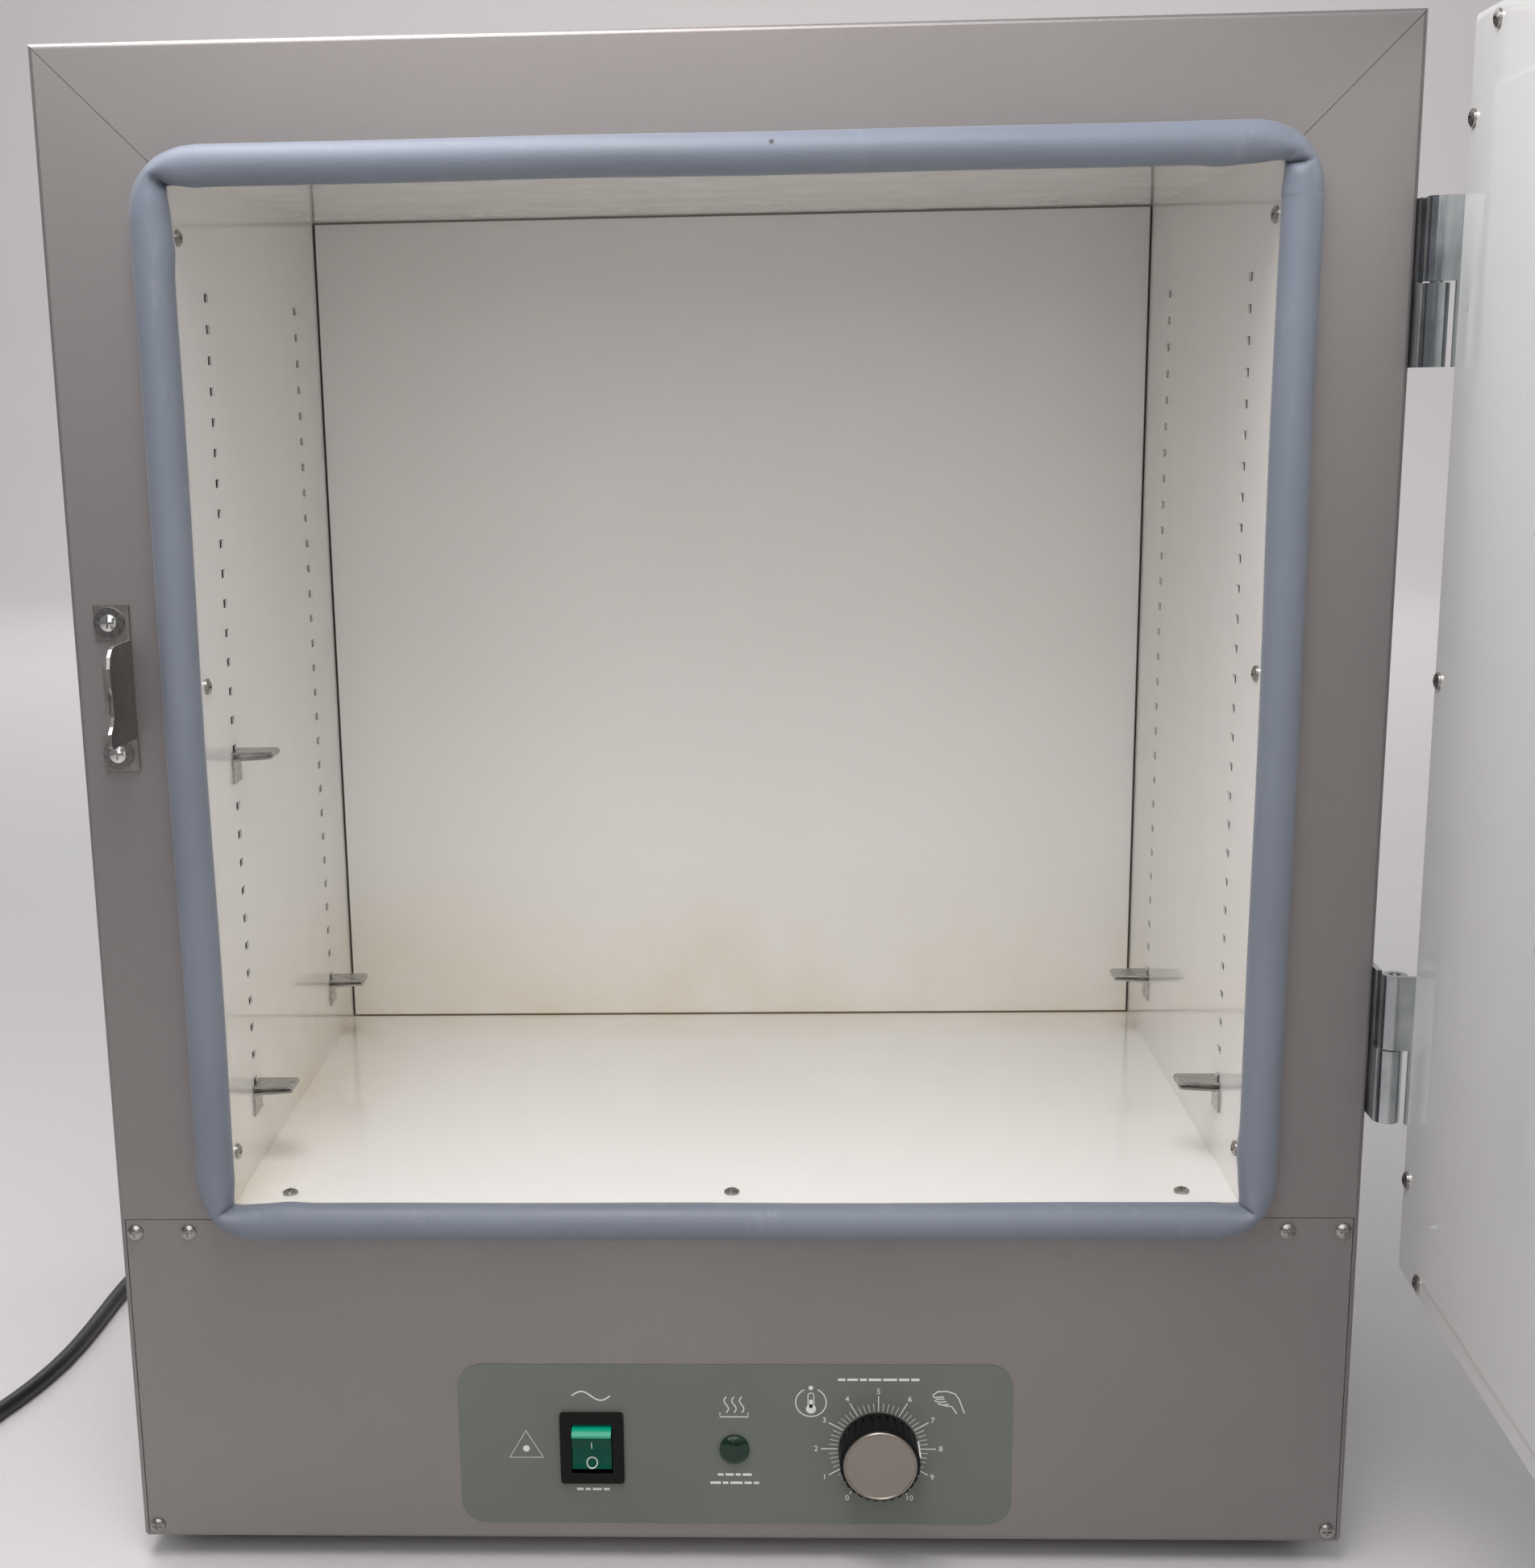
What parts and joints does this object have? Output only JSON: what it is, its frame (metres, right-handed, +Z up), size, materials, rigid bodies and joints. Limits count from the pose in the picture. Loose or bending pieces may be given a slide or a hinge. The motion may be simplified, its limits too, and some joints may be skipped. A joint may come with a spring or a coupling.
{
  "type": "laboratory incubator",
  "caption": "Bench-top laboratory incubator: insulated enamelled chamber with slotted shelf walls, side-hinged door with lever latch, and a front panel with rocker switch, lamp and dial.",
  "frame": {"origin": "on the floor under the middle of the casing", "axes": "+Z up, -Y towards the user (the front), +X to the user's right; the door is hinged at +X and stands open at rest"},
  "size_m": [0.844, 1.0111, 0.646],
  "materials": {
    "case_paint": "matte baked enamel, warm pinkish grey",
    "chamber_enamel": "glossy cream porcelain enamel",
    "door_enamel": "glossy grey-white enamel",
    "zinc": "bright zinc plate",
    "stainless": "satin stainless steel",
    "dark_screw": "dark nickel plate",
    "overlay": "dark green-grey printed plastic, fine texture",
    "black_plastic": "moulded black, fine texture",
    "rocker_green": "translucent green, glossy",
    "lens_green": "dark translucent green, glossy",
    "aluminium": "spun satin",
    "pointer_white": "white",
    "copper": "drawn copper",
    "heater_sheath": "oxidised steel sheath",
    "terminal_plastic": "ivory thermoplastic",
    "gasket_rubber": "matte blue-grey tubular rubber",
    "foot_rubber": "matte black rubber",
    "cord_rubber": "matte black sheath",
    "wool": "mineral fibre batt"
  },
  "bodies": {
    "cabinet": {"case_left_side": "case_paint", "case_right_side": "case_paint", "case_top": "case_paint", "bottom_pan": "case_paint", "rear_panel": "case_paint", "control_panel": "case_paint", "panel_screws": "dark_screw", "control_overlay": "overlay", "switch_body": "black_plastic", "lamp_body": "black_plastic", "lamp_lens": "lens_green", "thermostat": "stainless", "capillary": "copper", "heating_element": "heater_sheath", "heater_brackets": "zinc", "terminal_block": "terminal_plastic", "liner_left": "chamber_enamel", "liner_right": "chamber_enamel", "liner_top": "chamber_enamel", "liner_floor": "chamber_enamel", "liner_rear": "chamber_enamel", "liner_screws": "dark_screw", "shelf_clips": "stainless", "gasket": "gasket_rubber", "insulation_left": "wool", "insulation_right": "wool", "insulation_top": "wool", "insulation_rear": "wool", "feet": "foot_rubber", "foot_screws": "zinc", "rear_screws": "dark_screw", "case_hinge_leaves": "zinc", "hinge_pins": "stainless", "case_leaf_screws": "zinc", "strike": "zinc", "strike_washers": "stainless", "strike_screws": "zinc", "cord_gland": "black_plastic", "mains_cord": "cord_rubber", "cord_coil": "cord_rubber", "plug": "cord_rubber"},
    "door": {"door_shell": "case_paint", "door_inner_panel": "door_enamel", "door_insulation": "wool", "door_screws": "dark_screw", "door_hinge_leaves": "zinc", "door_leaf_screws": "zinc", "latch_bracket": "zinc", "latch_screws": "zinc", "latch_pin": "stainless"},
    "latch": {"latch_lever": "zinc"},
    "rocker": {"rocker": "rocker_green"},
    "knob": {"thermostat_shaft": "stainless", "knob_skirt": "black_plastic", "knob_cap": "aluminium", "knob_pointer": "pointer_white"}
  },
  "joints": [
    {"name": "door_hinge", "type": "hinge", "parent": "cabinet", "child": "door", "pos_m": [0.2726, -0.185, 0.3], "axis": [0, 0, 1], "range_deg": [-88, 87]},
    {"name": "latch_pivot", "type": "hinge", "parent": "door", "child": "latch", "pos_m": [0.30657, -0.7021, 0.392], "axis": [0, 0, 1], "range_deg": [-30, 0]},
    {"name": "switch_rock", "type": "hinge", "parent": "cabinet", "child": "rocker", "pos_m": [-0.063, -0.1724, 0.0555], "axis": [1, 0, 0], "range_deg": [-18, 0]},
    {"name": "dial_turn", "type": "hinge", "parent": "cabinet", "child": "knob", "pos_m": [0.0634, -0.185, 0.055], "axis": [0, 1, 0], "range_deg": [-228, 72]}
  ]
}
